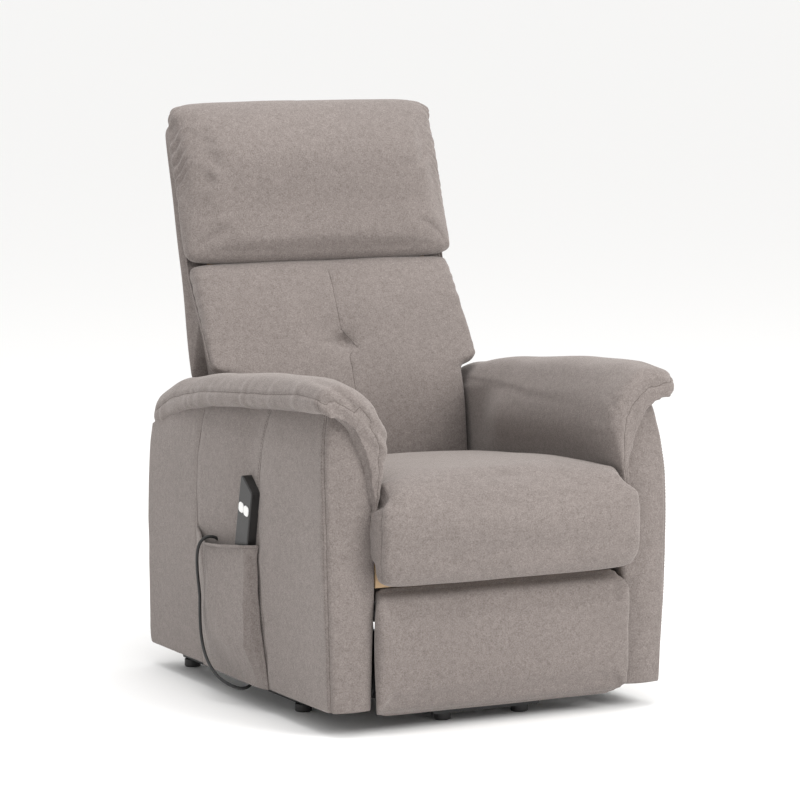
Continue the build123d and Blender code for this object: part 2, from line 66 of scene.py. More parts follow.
HINGE_Y, HINGE_Z = RECLINE["pos_m"][1], RECLINE["pos_m"][2]
LEAN = radians(17.5)
BACK_UP = Vector((0, sin(LEAN), cos(LEAN)))
BACK_OUT = Vector((0, -cos(LEAN), sin(LEAN)))
HINGE = Vector((0, HINGE_Y, HINGE_Z))
FRONT_Y = SEAT_LOW[1]
ARM_IN = ARM_LOW[0]
ARM_REAR = ARM_HIGH[1]
ARM_BOTTOM = ARM_LOW[2]

# ---- camera -----------------------------------------------------------------------------
TARGET = Vector((-0.0185, -0.0385, 0.5593))
AZIMUTH, ELEVATION, DISTANCE = radians(-27.5), radians(6.77), 7.06
camera_data = bpy.data.cameras.new("camera")
camera = bpy.data.objects.new("camera", camera_data)
bpy.context.scene.collection.objects.link(camera)
camera.location = TARGET + DISTANCE * Vector((sin(AZIMUTH) * cos(ELEVATION),
                                              -cos(AZIMUTH) * cos(ELEVATION), sin(ELEVATION)))
camera.rotation_euler = (TARGET - camera.location).to_track_quat("-Z", "Y").to_euler()
camera_data.lens = 166.6
bpy.context.scene.camera = camera


# ---- materials --------------------------------------------------------------------------
class Nodes:
    """A few short calls that make a node material readable."""

    def __init__(self, name):
        self.material = bpy.data.materials.new(name)
        self.material.use_nodes = True
        self.tree = self.material.node_tree
        self.shader = self.tree.nodes["Principled BSDF"]
        self.coord = self.tree.nodes.new("ShaderNodeTexCoord").outputs["Object"]

    def add(self, kind, **settings):
        node = self.tree.nodes.new(kind)
        for key, value in settings.items():
            setattr(node, key, value)
        return node

    def link(self, source, target):
        self.tree.links.new(source, target)

    def noise(self, scale, detail=2.0, rough=0.5, stretch=None):
        node = self.add("ShaderNodeTexNoise")
        node.inputs["Scale"].default_value = scale
        node.inputs["Detail"].default_value = detail
        node.inputs["Roughness"].default_value = rough
        vector = self.coord
        if stretch:
            mapping = self.add("ShaderNodeMapping")
            mapping.inputs["Scale"].default_value = stretch
            self.link(self.coord, mapping.inputs["Vector"])
            vector = mapping.outputs["Vector"]
        self.link(vector, node.inputs["Vector"])
        return node.outputs["Fac"]

    def ramp(self, factor, stops):
        node = self.add("ShaderNodeValToRGB")
        while len(node.color_ramp.elements) < len(stops):
            node.color_ramp.elements.new(0.5)
        for element, (position, color) in zip(node.color_ramp.elements, stops):
            element.position = position
            element.color = (*color, 1)
        self.link(factor, node.inputs["Fac"])
        return node.outputs["Color"]

    def math(self, operation, first, second):
        node = self.add("ShaderNodeMath", operation=operation)
        for socket, value in zip(node.inputs, (first, second)):
            if isinstance(value, (int, float)):
                socket.default_value = value
            else:
                self.link(value, socket)
        return node.outputs["Value"]

    def mix(self, kind, factor, first, second):
        node = self.add("ShaderNodeMix", data_type="RGBA", blend_type=kind)
        node.inputs["Factor"].default_value = factor
        self.link(first, node.inputs["A"])
        self.link(second, node.inputs["B"])
        return node.outputs["Result"]

    def bump(self, height, distance, strength=1.0):
        node = self.add("ShaderNodeBump")
        node.inputs["Distance"].default_value = distance
        node.inputs["Strength"].default_value = strength
        self.link(height, node.inputs["Height"])
        self.link(node.outputs["Normal"], self.shader.inputs["Normal"])


def fabric_material(name, dark, light, depth=0.0009):
    """Brushed chenille: fine mottled yarn, short slubs both ways, soft nap, sheen."""
    m = Nodes(name)
    cloud = m.noise(5, 3)
    patch = m.noise(90, 4, 0.7)
    yarn = m.noise(420, 2, 0.6)
    slub_across = m.noise(1, 2, 0.6, (190, 190, 900))
    slub_up = m.noise(1, 2, 0.6, (900, 900, 330))
    weave = m.math("MAXIMUM", slub_across, slub_up)
    middle = tuple((a + b) / 2 for a, b in zip(dark, light))
    base = m.ramp(yarn, [(0.25, dark), (0.5, middle), (0.75, light)])
    tint = m.ramp(cloud, [(0.3, (0.93, 0.93, 0.93)), (0.7, (1.0, 1.0, 1.0))])
    mottle = m.ramp(patch, [(0.34, (0.85, 0.845, 0.84)), (0.60, (1.0, 1.0, 1.0))])
    fleck = m.ramp(weave, [(0.45, (0.84, 0.83, 0.82)), (0.70, (1.0, 1.0, 1.0))])
    color = m.mix("MULTIPLY", 1.0, base, tint)
    color = m.mix("MULTIPLY", 1.0, color, mottle)
    color = m.mix("MULTIPLY", 0.75, color, fleck)
    m.link(color, m.shader.inputs["Base Color"])
    m.shader.inputs["Roughness"].default_value = 0.95
    m.shader.inputs["Sheen Weight"].default_value = 0.30
    m.shader.inputs["Sheen Roughness"].default_value = 0.5
    m.shader.inputs["Sheen Tint"].default_value = (0.9, 0.85, 0.82, 1)
    m.shader.inputs["Specular IOR Level"].default_value = 0.15
    height = m.math("ADD", weave, m.math("MULTIPLY", yarn, 0.6))
    m.bump(height, depth, 0.8)
    return m.material


def plastic_material(name, color, rough, grain=0.00008, worn=1.5):
    """Moulded plastic with a fine spark-eroded grain and faint handling marks."""
    m = Nodes(name)
    marks = m.noise(30, 4, 0.6)
    brighter = tuple(min(1, channel * worn + 0.004) for channel in color)
    m.link(m.ramp(marks, [(0.35, color), (0.75, brighter)]), m.shader.inputs["Base Color"])
    m.link(m.math("ADD", m.math("MULTIPLY", marks, 0.2), rough - 0.1),
           m.shader.inputs["Roughness"])
    m.bump(m.noise(2600, 2), grain)
    return m.material


def steel_material(name, color, rough, metal):
    """Powder-coated or bare steel with orange peel and scuffs."""
    m = Nodes(name)
    scuffs = m.noise(45, 5, 0.7, (1, 0.3, 1))
    worn = tuple(channel * 1.8 + 0.01 for channel in color)
    m.link(m.ramp(scuffs, [(0.4, color), (0.8, worn)]), m.shader.inputs["Base Color"])
    m.link(m.math("ADD", m.math("MULTIPLY", scuffs, 0.25), rough - 0.12),
           m.shader.inputs["Roughness"])
    m.shader.inputs["Metallic"].default_value = metal
    m.bump(m.noise(900, 3), 0.00012)
    return m.material


def wood_material(name, color):
    """Raw plywood: long grain with darker pores."""
    m = Nodes(name)
    grain = m.noise(1, 5, 0.6, (6, 90, 90))
    pale = tuple(min(1, channel * 1.25) for channel in color)
    m.link(m.ramp(grain, [(0.3, color), (0.7, pale)]), m.shader.inputs["Base Color"])
    m.shader.inputs["Roughness"].default_value = 0.75
    m.bump(grain, 0.0003)
    return m.material


FABRIC = fabric_material("taupe_chenille", (0.150, 0.127, 0.118), (0.282, 0.249, 0.236))
# Seam thread is darker than the cover as painted shade for the sewn grooves its lines sink into; the top stitches
# share this colour.
SEAM_SHADE_THREAD = fabric_material("seam_thread_painted_shade", (0.10, 0.083, 0.075), (0.17, 0.145, 0.133))
SHELL = plastic_material("charcoal_plastic", (0.011, 0.010, 0.010), 0.42)
BUTTON = plastic_material("white_button", (0.78, 0.78, 0.77), 0.35, 0.00003, 1.02)
RUBBER = plastic_material("cord_rubber", (0.009, 0.009, 0.009), 0.5, 0.00004)
BLACK_STEEL = steel_material("black_powder_coat", (0.012, 0.012, 0.013), 0.45, 0.0)
SPRING_STEEL = steel_material("bare_steel", (0.35, 0.35, 0.36), 0.35, 1.0)
PLYWOOD = wood_material("raw_plywood", (0.42, 0.29, 0.17))

SLOT_MATERIALS = {
    "frame_steel": BLACK_STEEL,
    "spring_steel": SPRING_STEEL,
    "frame_wood": PLYWOOD,
    "black_plastic": SHELL,
    "cord_rubber": RUBBER,
    "button_white": BUTTON,
    "upholstery": FABRIC,
}
for entry in frame["record"]["subparts"]:
    node = frame["nodes"][entry["node"]]
    node.data.materials.clear()
    node.data.materials.append(SLOT_MATERIALS[entry["material_slot"]])


# ---- mesh helpers -------------------------------------------------------------------------
def make_object(name, vertices, faces, material=FABRIC):
    """A smooth-shaded mesh object with outward normals."""
    mesh = bpy.data.meshes.new(name)
    mesh.from_pydata([tuple(v) for v in vertices], [], faces)
    shape = bmesh.new()
    shape.from_mesh(mesh)
    bmesh.ops.remove_doubles(shape, verts=shape.verts, dist=1e-6)
    bmesh.ops.recalc_face_normals(shape, faces=shape.faces)
    shape.to_mesh(mesh)
    shape.free()
    mesh.materials.append(material)
    for face in mesh.polygons:
        face.use_smooth = True
    made = bpy.data.objects.new(name, mesh)
    bpy.context.scene.collection.objects.link(made)
    return made


def loft(name, rings, material=FABRIC, closed=True, caps=True):
    """Skin over rings of equal length; caps close both ends with a fan."""
    count = len(rings[0])
    vertices = [point for ring in rings for point in ring]
    faces = []
    last = count if closed else count - 1
    for row in range(len(rings) - 1):
        for column in range(last):
            after = (column + 1) % count
            faces.append((row * count + column, row * count + after,
                          (row + 1) * count + after, (row + 1) * count + column))
    if caps:
        for row in (0, len(rings) - 1):
            middle = sum((Vector(p) for p in rings[row]), Vector()) / count
            vertices.append(middle)
            for column in range(count):
                faces.append((row * count + column, row * count + (column + 1) % count,
                              len(vertices) - 1))
    return make_object(name, vertices, faces, material)


def curve_points(points, count, closed=False):
    """Catmull-Rom curve through the points, resampled to evenly spaced points."""
    size = len(points)
    dense = []
    steps = 12
    last = size if closed else size - 1
    for i in range(last):
        if closed:
            a, b, c, d = (Vector(points[(i + k) % size]) for k in (-1, 0, 1, 2))
        else:
            a, b, c, d = (Vector(points[min(max(i + k, 0), size - 1)]) for k in (-1, 0, 1, 2))
        for step in range(steps):
            t = step / steps
            dense.append(0.5 * (2 * b + (c - a) * t + (2 * a - 5 * b + 4 * c - d) * t * t
                                + (3 * b - a - 3 * c + d) * t ** 3))
    dense.append(Vector(points[0]) if closed else Vector(points[-1]))
    lengths = [0.0]
    for before, after in zip(dense, dense[1:]):
        lengths.append(lengths[-1] + (after - before).length)
    result = []
    wanted = count if closed else count - 1
    index = 0
    for i in range(count):
        target = lengths[-1] * i / wanted
        while index < len(lengths) - 2 and lengths[index + 1] < target:
            index += 1
        part = lengths[index + 1] - lengths[index]
        share = (target - lengths[index]) / part if part > 0 else 0
        result.append(dense[index].lerp(dense[index + 1], min(max(share, 0), 1)))
    return result


def smoothstep(low, high, value):
    """0 before low, 1 after high, with a smooth rise between."""
    t = min(max((value - low) / (high - low), 0), 1)
    return t * t * (3 - 2 * t)


def curve_value(table, x):
    """Smooth value at x of a curve given by (x, value) points."""
    if x <= table[0][0]:
        return table[0][1]
    for (x0, y0), (x1, y1) in zip(table, table[1:]):
        if x <= x1:
            return y0 + (y1 - y0) * smoothstep(x0, x1, x) * 0.5 + (y1 - y0) * 0.5 * (
                x - x0) / (x1 - x0)
    return table[-1][1]


def subdivide(obj, levels=1):
    """Applied Catmull-Clark subdivision."""
    modifier = obj.modifiers.new("subdivide", "SUBSURF")
    modifier.levels = modifier.render_levels = levels
    apply_modifiers(obj)


def apply_modifiers(obj):
    """Bakes an object's modifiers into its mesh."""
    graph = bpy.context.evaluated_depsgraph_get()
    graph.update()
    baked = bpy.data.meshes.new_from_object(obj.evaluated_get(graph))
    obj.modifiers.clear()
    old = obj.data
    obj.data = baked
    bpy.data.meshes.remove(old)
    for face in obj.data.polygons:
        face.use_smooth = True


CLOTH_STIFFNESS = 12.0


def puff(obj, voxel, pressure=4.0, cap=0.02, fixed=None):
    """Remeshes a pad and lets cloth pressure fill it; no point moves further than cap."""
    modifier = obj.modifiers.new("remesh", "REMESH")
    modifier.mode = "VOXEL"
    modifier.voxel_size = voxel * 1
    apply_modifiers(obj)
    start = [v.co.copy() for v in obj.data.vertices]
    if fixed:
        group = obj.vertex_groups.new(name="fixed")
        for v in obj.data.vertices:
            weight = fixed(v.co)
            if weight > 0:
                group.add([v.index], weight, "REPLACE")
    cloth = obj.modifiers.new("cloth", "CLOTH")
    settings = cloth.settings
    settings.quality = 4
    settings.mass = 0.25
    settings.tension_stiffness = CLOTH_STIFFNESS
    settings.compression_stiffness = CLOTH_STIFFNESS
    settings.shear_stiffness = 4
    settings.bending_stiffness = 0.4
    settings.use_pressure = True
    settings.uniform_pressure_force = pressure
    settings.effector_weights.gravity = 0
    if fixed:
        settings.vertex_group_mass = "fixed"
    scene = bpy.context.scene
    cloth.point_cache.frame_start = 1
    cloth.point_cache.frame_end = 20
    for number in range(1, 21):
        scene.frame_set(number)
    apply_modifiers(obj)
    scene.frame_set(1)
    for v, before in zip(obj.data.vertices, start):
        moved = v.co - before
        if moved.length > cap:
            v.co = before + moved * (cap / moved.length)
    obj.vertex_groups.clear()


def displace(obj, function):
    """Moves each vertex by function(position, normal), an offset vector."""
    mesh = obj.data
    normals = [v.normal.copy() for v in mesh.vertices]
    for v, normal in zip(mesh.vertices, normals):
        offset = function(v.co, normal)
        if offset is not None:
            v.co += offset
    mesh.update()


def relax(obj, rounds=2, factor=0.5):
    """Laplacian smoothing that takes remesh steps away."""
    modifier = obj.modifiers.new("smooth", "SMOOTH")
    modifier.iterations = rounds
    modifier.factor = factor
    apply_modifiers(obj)


def surface_of(obj):
    """Search tree over an object's faces."""
    graph = bpy.context.evaluated_depsgraph_get()
    return BVHTree.FromObject(obj, graph)


def groove(obj, points, width, depth):
    """Presses a sewn line into a mesh along a path."""
    tree = KDTree(len(points))
    for index, point in enumerate(points):
        tree.insert(point, index)
    tree.balance()

    def press(position, normal):
        distance = tree.find(position)[2]
        if distance > 3 * width:
            return None
        return -normal * depth * exp(-(distance / width) ** 2)

    displace(obj, press)


def tube(name, points, radius, material, sides=8, closed=False):
    """Round tube along a list of points, with rounded ends."""
    rings = []
    size = len(points)
    side = None
    for index, point in enumerate(points):
        before = points[max(index - 1, 0)] if not closed else points[index - 1]
        after = points[min(index + 1, size - 1)] if not closed else points[(index + 1) % size]
        direction = (after - before).normalized()
        if side is None:
            side = direction.orthogonal().normalized()
        side = (side - direction * side.dot(direction)).normalized()
        other = direction.cross(side)
        scale = 0.55 if not closed and index in (0, size - 1) else 1.0
        rings.append([point + (side * cos(a) + other * sin(a)) * radius * scale
                      for a in (2 * pi * k / sides for k in range(sides))])
    if closed:
        rings.append(rings[0])
    return loft(name, rings, material, caps=not closed)


def on_surface(obj, points, lift):
    """The points moved onto an object's surface, and lift above it, with normals."""
    tree = surface_of(obj)
    placed = []
    for point in points:
        location, normal, _, _ = tree.find_nearest(point)
        placed.append((location + normal * lift, normal))
    return placed


def seam(name, obj, body, points, width=0.004, depth=0.0022, radius=0.0007, stitch=0.0,
         offset=0.0055, step=0.003):
    """A sewn line on a pad: a pressed groove, its thread darkened as painted shade in the groove, and a row of top
    stitches.
    """
    length = sum((Vector(b) - Vector(a)).length for a, b in zip(points, points[1:]))
    path = curve_points(points, max(8, int(length / step)))
    path = [p for p, _ in on_surface(obj, path, 0)]
    groove(obj, path, width, depth)
    placed = on_surface(obj, path, -radius * 0.3)
    # The thread line sunk in the groove is dark as painted seam shade.
    line = tube(f"{name}_line", [p for p, _ in placed], radius, SEAM_SHADE_THREAD, 6)
    join_into(obj, line)
    if stitch:
        stitches = []
        shifted = []
        for index, (point, normal) in enumerate(placed):
            after = placed[min(index + 1, len(placed) - 1)][0]
            before = placed[max(index - 1, 0)][0]
            direction = (after - before).normalized()
            shifted.append(point + normal.cross(direction) * offset * stitch)
        spots = on_surface(obj, shifted, 0.0001)
        for index in range(0, len(spots) - 2, 2):
            first, second = spots[index][0], spots[index + 1][0]
            if (second - first).length > 1e-5:
                stitches.append((first, second))
        join_into(obj, dashes(f"{name}_stitch", stitches, 0.00055))
    return path


def dashes(name, pairs, radius):
    """Short round stitches between pairs of points, in one mesh."""
    vertices, faces = [], []
    for first, second in pairs:
        direction = (second - first).normalized()
        side = direction.orthogonal().normalized()
        other = direction.cross(side)
        base = len(vertices)
        for centre, scale in ((first, 0.5), (first.lerp(second, 0.2), 1),
                              (first.lerp(second, 0.8), 1), (second, 0.5)):
            for k in range(5):
                a = 2 * pi * k / 5
                vertices.append(centre + (side * cos(a) + other * sin(a)) * radius * scale)
        for row in range(3):
            for k in range(5):
                n = (k + 1) % 5
                faces.append((base + row * 5 + k, base + row * 5 + n,
                              base + row * 5 + 5 + n, base + row * 5 + 5 + k))
        faces.append(tuple(base + k for k in range(5)))
        faces.append(tuple(base + 15 + k for k in range(5)))
    # Stitches take the seam thread's darker colour, which is painted seam shade.
    return make_object(name, vertices, faces, SEAM_SHADE_THREAD)


def join_into(obj, extra):
    """Keeps a seam with its pad, as a child that rides with it."""
    extra.parent = obj
    return extra


def declare(obj, body, *nodes, fill=0.6, slot="upholstery"):
    """Parents a finished pad to its body and hides the CAD nodes it replaces; slot and fill (padding) are not
    used.
    """
    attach(obj, body)
    if nodes:
        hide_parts(*nodes)


# ---- handset cord -----------------------------------------------------------------------
CORD_ROUTE = [
    (-0.3615, -0.0565, 0.2173), (-0.3615, -0.0491, 0.1841), (-0.361, -0.038, 0.15),
    (-0.36, -0.006, 0.13), (-0.358, 0.028, 0.144), (-0.356, 0.046, 0.178),
    (-0.353, 0.052, 0.214), (-0.351, 0.054, 0.244), (-0.352, 0.053, 0.271),
    (-0.352, 0.055, 0.294), (-0.36, 0.057, 0.305), (-0.373, 0.06, 0.309),
    (-0.386, 0.063, 0.305), (-0.394, 0.066, 0.293), (-0.396, 0.07, 0.273),
    (-0.394, 0.074, 0.248), (-0.389, 0.08, 0.221), (-0.384, 0.084, 0.194),
    (-0.382, 0.089, 0.166), (-0.382, 0.088, 0.138), (-0.384, 0.078, 0.11),
    (-0.387, 0.058, 0.086), (-0.389, 0.03, 0.066), (-0.386, 0, 0.049), (-0.373, -0.025, 0.036),
    (-0.349, -0.038, 0.028), (-0.327, -0.036, 0.04), (-0.318, -0.027, 0.074),
]
CORD_RADIUS = 0.003


def nurbs_points(route):
    """Points along the smooth NURBS line that the route controls."""
    curve = bpy.data.curves.new("cord_path", "CURVE")
    curve.dimensions = "3D"
    spline = curve.splines.new("NURBS")
    spline.points.add(len(route) - 1)
    for point, place in zip(spline.points, route):
        point.co = (*place, 1)
    spline.order_u = 3
    spline.use_endpoint_u = True
    spline.resolution_u = 6
    holder = bpy.data.objects.new("cord_path", curve)
    bpy.context.scene.collection.objects.link(holder)
    graph = bpy.context.evaluated_depsgraph_get()
    mesh = bpy.data.meshes.new_from_object(holder.evaluated_get(graph))
    points = [v.co.copy() for v in mesh.vertices]
    bpy.data.objects.remove(holder)
    bpy.data.meshes.remove(mesh)
    return points


cord_line = nurbs_points(CORD_ROUTE)
cord = tube("handset_lead", cord_line, CORD_RADIUS, RUBBER, 14)
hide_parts("handset_cord")
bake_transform(cord)


# ---- cushions lofted across the chair ----------------------------------------------------
def cushion(name, profile, core, half_at, power, place=lambda a, b: (a, b), stations=34):
    """Closed cushion across X: each side-view profile point closes on its core at the ends."""
    rings = []
    for k in range(-stations, stations + 1):
        angle = abs(k) / stations * pi / 2
        share = sin(angle) ** (2 / power)
        fullness = max(cos(angle), 0) ** (2 / power)
        side = -1 if k < 0 else 1
        ring = []
        for a, b in profile:
            core_a, core_b = core(a, b)
            y, z = place(core_a + (a - core_a) * fullness, core_b + (b - core_b) * fullness)
            ring.append((side * share * half_at(a, b), y, z))
        rings.append(ring)
    return loft(name, rings)


def outline(points, count):
    """Closed smooth side-view outline through the points, evenly resampled."""
    return [(p.x, p.y) for p in curve_points([(a, b, 0) for a, b in points], count, closed=True)]


def clamp(value, low, high):
    """The value, kept between low and high."""
    return min(max(value, low), high)


def on_back(up, out):
    """(y, z) of a point on the leaning back: up it, and forward of it."""
    place = HINGE + BACK_UP * up + BACK_OUT * out
    return (place.y, place.z)


def back_coords(position):
    """(up, out) of a point in space."""
    offset = position - HINGE
    return offset.dot(BACK_UP), offset.dot(BACK_OUT)


def ripples(seed, along, pitch):
    """Uneven gathers along a seam, from about -1 to 1."""
    wander = noise.noise(Vector((along * 14, seed, 0.5)))
    swell = 0.5 + 1.1 * noise.noise(Vector((along * 23, seed + 7, 2.5)))
    return sin(2 * pi * along / pitch + 5.0 * wander) * clamp(swell, 0.1, 1.1)


# ---- seat ---------------------------------------------------------------------------------
SEAT_REAR = SEAT_HIGH[1]
SEAT_PROFILE = [
    (SEAT_REAR - 0.002, 0.332), (-0.18, 0.325), (-0.382, 0.325), (-0.397, 0.305),
    (-0.404, 0.283), (-0.424, 0.272), (-0.446, 0.277), (-0.460, 0.300),
    (FRONT_Y + 0.004, 0.340), (FRONT_Y + 0.003, 0.380), (FRONT_Y + 0.008, 0.412),
    (FRONT_Y + 0.020, 0.438), (FRONT_Y + 0.038, 0.455), (FRONT_Y + 0.066, 0.464),
    (-0.34, 0.466), (-0.25, 0.462), (-0.12, 0.452), (0.0, 0.442), (0.10, 0.431),
    (SEAT_REAR - 0.014, 0.423), (SEAT_REAR - 0.001, 0.405), (SEAT_REAR, 0.36),
]


def seat_half(y, z):
    """Half-width: between the arms, and fuller with rounded corners before them."""
    before = smoothstep(0.394, 0.414, -y)
    top = smoothstep(0.385, 0.46, z)
    bottom = 1 - smoothstep(0.272, 0.315, z)
    return 0.2495 + before * (0.0190 - 0.026 * top * top - 0.005 * bottom)


seat = cushion("seat_pad", outline(SEAT_PROFILE, 120),
               lambda y, z: (clamp(y, FRONT_Y + 0.038, SEAT_REAR - 0.03), clamp(z, 0.318, 0.415)),
               seat_half, 9)
puff(seat, 0.006, 4.0, 0.008,
     fixed=lambda p: 1.0 if p.z < 0.335 or p.y > SEAT_REAR - 0.02
     or abs(p.x) > 0.245 and p.y > -0.39 else 0.0)
relax(seat, 4)
subdivide(seat)


def seat_folds(position, normal):
    """Slow unevenness and gathers at the nose's top corners."""
    edge = seat_half(position.y, position.z) - abs(position.x)
    offset = normal * 0.0018 * noise.noise(position * 7)
    if position.y < -0.39 and position.z > 0.36:
        along = position.z - 0.8 * position.y
        strength = smoothstep(0.36, 0.43, position.z) * exp(-max(edge, 0) / 0.018)
        offset += normal * 0.0026 * strength * ripples(3, along, 0.024)
    return offset


displace(seat, seat_folds)
for side in (-1, 1):
    nose_edge = [Vector((side * 0.262, FRONT_Y + d, z)) for d, z in
                 ((0.040, 0.280), (0.030, 0.300), (0.024, 0.345), (0.024, 0.385),
                  (0.034, 0.420), (0.060, 0.452))]
    seam(f"seat_nose_seam_{side + 1}", seat, "chassis", nose_edge, width=0.003, depth=0.0018)
declare(seat, "chassis", "seat_cushion", fill=0.75)

# ---- footrest -----------------------------------------------------------------------------
FOOT_TOP = FOOT_HIGH[2] + 0.007
FOOT_FLOOR = FOOT_LOW[2] + 0.002
FOOT_Y = FOOT_LOW[1]
BACK_Y = BOARD_HIGH[1]
FOOT_PROFILE = [
    (BACK_Y - 0.002, FOOT_FLOOR + 0.012), (BACK_Y - 0.012, FOOT_FLOOR + 0.002),
    (-0.402, FOOT_FLOOR), (-0.413, FOOT_FLOOR + 0.007), (-0.4185, 0.055),
    (-0.4235, 0.09), (FOOT_Y + 0.002, 0.14), (FOOT_Y + 0.002, 0.18), (-0.4255, 0.22),
    (-0.419, FOOT_TOP - 0.012), (-0.407, FOOT_TOP - 0.002), (-0.396, FOOT_TOP),
    (BACK_Y - 0.003, FOOT_TOP - 0.010),
]


def foot_half(y, z):
    """Half-width: fuller in front of the arms, with rounded corners."""
    corner = max(smoothstep(FOOT_TOP - 0.028, FOOT_TOP, z),
                 1 - smoothstep(FOOT_FLOOR, FOOT_FLOOR + 0.022, z))
    front = smoothstep(0.400, 0.414, -y)
    return 0.2525 + front * (0.0155 - 0.009 * corner)


footpad = cushion("footrest_pad", outline(FOOT_PROFILE, 90),
                  lambda y, z: (clamp(y, -0.412, BACK_Y - 0.008),
                                clamp(z, FOOT_FLOOR + 0.012, FOOT_TOP - 0.014)),
                  foot_half, 10)
puff(footpad, 0.005, 3.0, 0.005, fixed=lambda p: 1.0 if p.y > BACK_Y - 0.010 else 0.0)
relax(footpad, 4)
subdivide(footpad)
displace(footpad, lambda p, n: n * 0.0016 * noise.noise(p * 7 + Vector((4, 1, 0))))
declare(footpad, "footrest", "footrest_cushion", "footrest_board", fill=0.7)

# ---- backrest -----------------------------------------------------------------------------
SEAM_OUT = [(0.00, 0.040), (0.16, 0.054), (0.26, 0.060), (0.316, 0.049), (0.37, 0.031),
            (0.425, 0.010), (0.475, -0.004), (0.51, 0.000), (0.60, 0.002), (0.69, 0.004),
            (0.76, 0.000), (0.80, -0.006)]
REAR_OUT = -0.0385
NARROW = 0.2485


def back_half(up):
    """Half-width of the back: narrow between the arms, wide above them."""
    wide = 0.2905 - 0.0075 * smoothstep(0.30, 0.50, up) - 0.0035 * smoothstep(0.50, 0.78, up)
    return NARROW + (wide - NARROW) * smoothstep(0.246, 0.270, up)


SHELL_FRONT = [(up, curve_value(SEAM_OUT, up) - 0.003) for up in
               (0.775, 0.72, 0.66, 0.60, 0.54, 0.49, 0.44, 0.39, 0.34, 0.29, 0.23, 0.15, 0.07)]
SHELL_PROFILE = ([(0.026, REAR_OUT + 0.004), (0.034, REAR_OUT), (0.20, REAR_OUT - 0.001),
                  (0.42, REAR_OUT - 0.001), (0.62, REAR_OUT), (0.745, REAR_OUT + 0.002),
                  (0.770, REAR_OUT + 0.008), (0.779, -0.016)] + SHELL_FRONT + [(0.026, 0.030)])
shell = cushion("back_boxing", outline(SHELL_PROFILE, 150),
                lambda u, v: (clamp(u, 0.034, 0.768),
                              clamp(v, REAR_OUT + 0.007, curve_value(SEAM_OUT, u) - 0.006)),
                lambda u, v: back_half(u), 12, on_back)
subdivide(shell)
displace(shell, lambda p, n: n * 0.0012 * noise.noise(p * 7 + Vector((9, 3, 1))))

LUMBAR_PROFILE = [
    (0.022, 0.020), (0.026, 0.040), (0.08, 0.059), (0.14, 0.076), (0.196, 0.088),
    (0.235, 0.089), (0.27, 0.081), (0.31, 0.069), (0.35, 0.062), (0.40, 0.057),
    (0.44, 0.049), (0.472, 0.037), (0.486, 0.022), (0.488, 0.002), (0.47, -0.006),
    (0.38, 0.016), (0.30, 0.030), (0.16, 0.030), (0.05, 0.012),
]
TUFT_UP = 0.308


def seam_core(low, high):
    """Core function that closes a cushion on the back's side seam between two heights."""
    return lambda u, v: (clamp(u, low, high), curve_value(SEAM_OUT, clamp(u, low, high)))


lumbar = cushion("lumbar_pad", outline(LUMBAR_PROFILE, 130), seam_core(0.034, 0.478),
                 lambda u, v: back_half(u) - 0.0005, 5.5, on_back)
puff(lumbar, 0.006, 4.0, 0.009,
     fixed=lambda p: 1.0 if back_coords(p)[1] < curve_value(SEAM_OUT, back_coords(p)[0])
     or back_coords(p)[0] > 0.468 or abs(p.x) > back_half(back_coords(p)[0]) - 0.010
     else 0.0)
relax(lumbar, 4)
subdivide(lumbar)


def lumbar_shape(position, normal):
    """The pulled tuft with its creases, and soft gathers along the side seams."""
    up, out = back_coords(position)
    if out < curve_value(SEAM_OUT, up) - 0.004:
        return None
    along = up - TUFT_UP
    reach = sqrt(position.x ** 2 + along ** 2)
    depth = 0.0040 * exp(-(position.x / 0.050) ** 2) * exp(-(along / 0.16) ** 2)
    depth += 0.0135 * exp(-(reach / 0.020) ** 2) + 0.0055 * exp(-(reach / 0.065) ** 2)
    for slope, strength in ((0.05, 0.0030), (0.75, 0.0016), (-0.9, 0.0014), (3.0, 0.0012)):
        for side in (-1, 1):
            off = (along - slope * abs(position.x)) / sqrt(1 + slope * slope)
            if position.x * side > 0:
                fade = exp(-reach / 0.035) * smoothstep(0.0, 0.012, reach)
                depth += strength * exp(-(off / 0.007) ** 2) * fade
    edge = back_half(up) - abs(position.x)
    gather = 0.0007 * exp(-max(edge - 0.004, 0) / 0.018) * ripples(1 + (position.x > 0), up, 0.027)
    if up < 0.28:
        gather = 0
    wave = 0.0018 * noise.noise(position * 8 + Vector((2, 0, 5)))
    return BACK_OUT * (-depth) + normal * (gather + wave)


displace(lumbar, lumbar_shape)
centre = [Vector((0.002 * sin(up * 30), *on_back(up, 0.12))) for up in
          (0.486, 0.45, 0.41, 0.37, 0.33, 0.31, 0.29, 0.25, 0.20, 0.15, 0.10, 0.05)]
seam("lumbar_centre_seam", lumbar, "backrest", centre, width=0.0035, depth=0.0022)

HEAD_PROFILE = [
    (0.489, 0.006), (0.487, 0.022), (0.497, 0.039), (0.528, 0.050), (0.590, 0.057),
    (0.640, 0.068), (0.690, 0.0765), (0.735, 0.071), (0.772, 0.057), (0.800, 0.038),
    (0.817, 0.016), (0.820, -0.005), (0.811, -0.021), (0.796, -0.029), (0.782, -0.029),
    (0.774, -0.018), (0.772, 0.000), (0.700, 0.006), (0.600, 0.003), (0.52, 0.000),
]


def head_half(u, v):
    """Half-width of the head pillow, which bulges a little past its end seams."""
    bulge = smoothstep(0.0, 0.04, v)
    return back_half(max(u, 0.5)) + 0.0105 * bulge


headrest = cushion("headrest_pad", outline(HEAD_PROFILE, 130), seam_core(0.512, 0.790),
                   head_half, 5, on_back)
puff(headrest, 0.006, 4.0, 0.009,
     fixed=lambda p: 1.0 if back_coords(p)[0] < 0.508
     or back_coords(p)[1] < 0.004 and back_coords(p)[0] < 0.77 else 0.0)
relax(headrest, 4)
subdivide(headrest)


